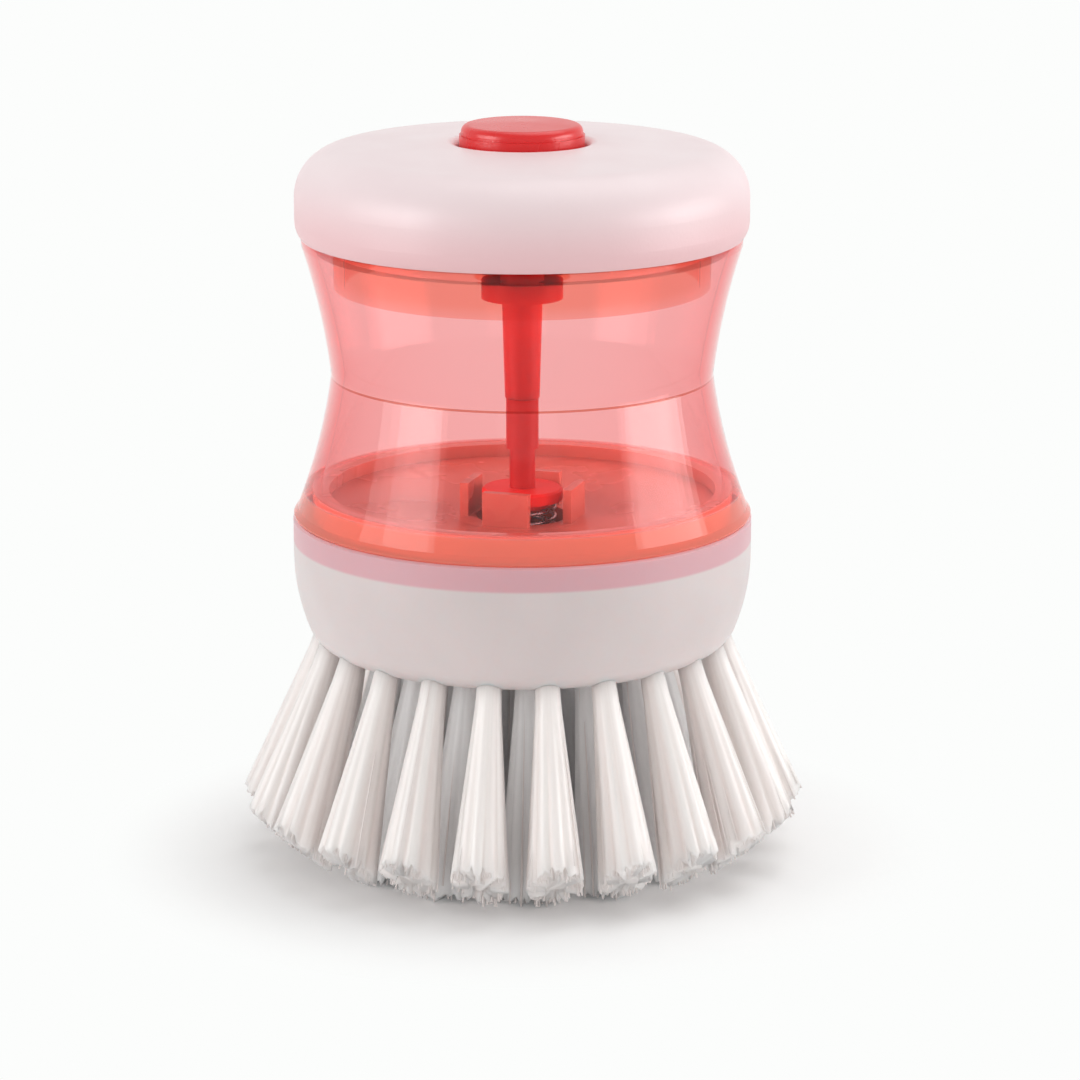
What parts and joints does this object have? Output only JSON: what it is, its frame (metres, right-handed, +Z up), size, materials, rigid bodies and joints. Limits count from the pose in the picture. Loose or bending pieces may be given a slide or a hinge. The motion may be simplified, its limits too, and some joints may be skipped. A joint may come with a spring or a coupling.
{
  "type": "soap-dispensing palm brush",
  "caption": "Palm-held dish brush with a waisted transparent soap reservoir, a screw cap with a push button that opens a sprung valve, and a round head of splayed bristle tufts.",
  "frame": {"origin": "on the table, under the middle of the brush, with the object standing on its bristle tips", "axes": "+Z up along the axis of the body, the pictured front towards -Y"},
  "size_m": [0.0776, 0.077, 0.1009],
  "materials": {
    "white_plastic": "moulded, satin gloss",
    "clear_red_plastic": "moulded, transparent",
    "tinted_red_plastic": "moulded, translucent",
    "red_plastic": "moulded",
    "bristle_nylon": "drawn filaments, trimmed ends",
    "silicone": "moulded, matt",
    "spring_steel": "drawn wire",
    "anchor_metal": "cut strip"
  },
  "bodies": {
    "base": {"brush_head": "white_plastic", "bristles_outer": "bristle_nylon", "bristles_middle": "bristle_nylon", "bristles_inner": "bristle_nylon", "tuft_anchors": "anchor_metal", "reservoir": "clear_red_plastic", "floor_plate": "tinted_red_plastic", "floor_gasket": "silicone", "outlet_gasket": "silicone", "return_spring": "spring_steel"},
    "gasket": {"cap_gasket": "silicone"},
    "cap": {"top_cap": "white_plastic", "cap_inner": "tinted_red_plastic", "stem_seal": "silicone", "seal_retainer": "red_plastic"},
    "button": {"push_button": "red_plastic", "button_stem": "red_plastic"},
    "valve": {"valve_rod": "red_plastic", "spring_collar": "red_plastic", "valve_poppet": "silicone", "poppet_clip": "spring_steel"}
  },
  "joints": [
    {"name": "cap_lift", "type": "slide", "parent": "base", "child": "gasket", "axis": [0, 0, 1], "range_m": [0, 0.006]},
    {"name": "cap_turn", "type": "hinge", "parent": "gasket", "child": "cap", "pos_m": [0, 0, 0.09], "axis": [0, 0, 1], "range_deg": [0, 720]},
    {"name": "button_press", "type": "slide", "parent": "cap", "child": "button", "axis": [0, 0, -1], "range_m": [0, 0.0032], "stiffness_N_per_m": 400, "springref_m": -0.003},
    {"name": "valve_open", "type": "slide", "parent": "base", "child": "valve", "axis": [0, 0, -1], "range_m": [0, 0.0032], "deforming": ["return_spring"]}
  ],
  "couplings": [
    {"joint": "cap_lift", "follows": "cap_turn", "m_per_rad": 0.00047746},
    {"joint": "valve_open", "follows": "button_press", "ratio": 1}
  ]
}
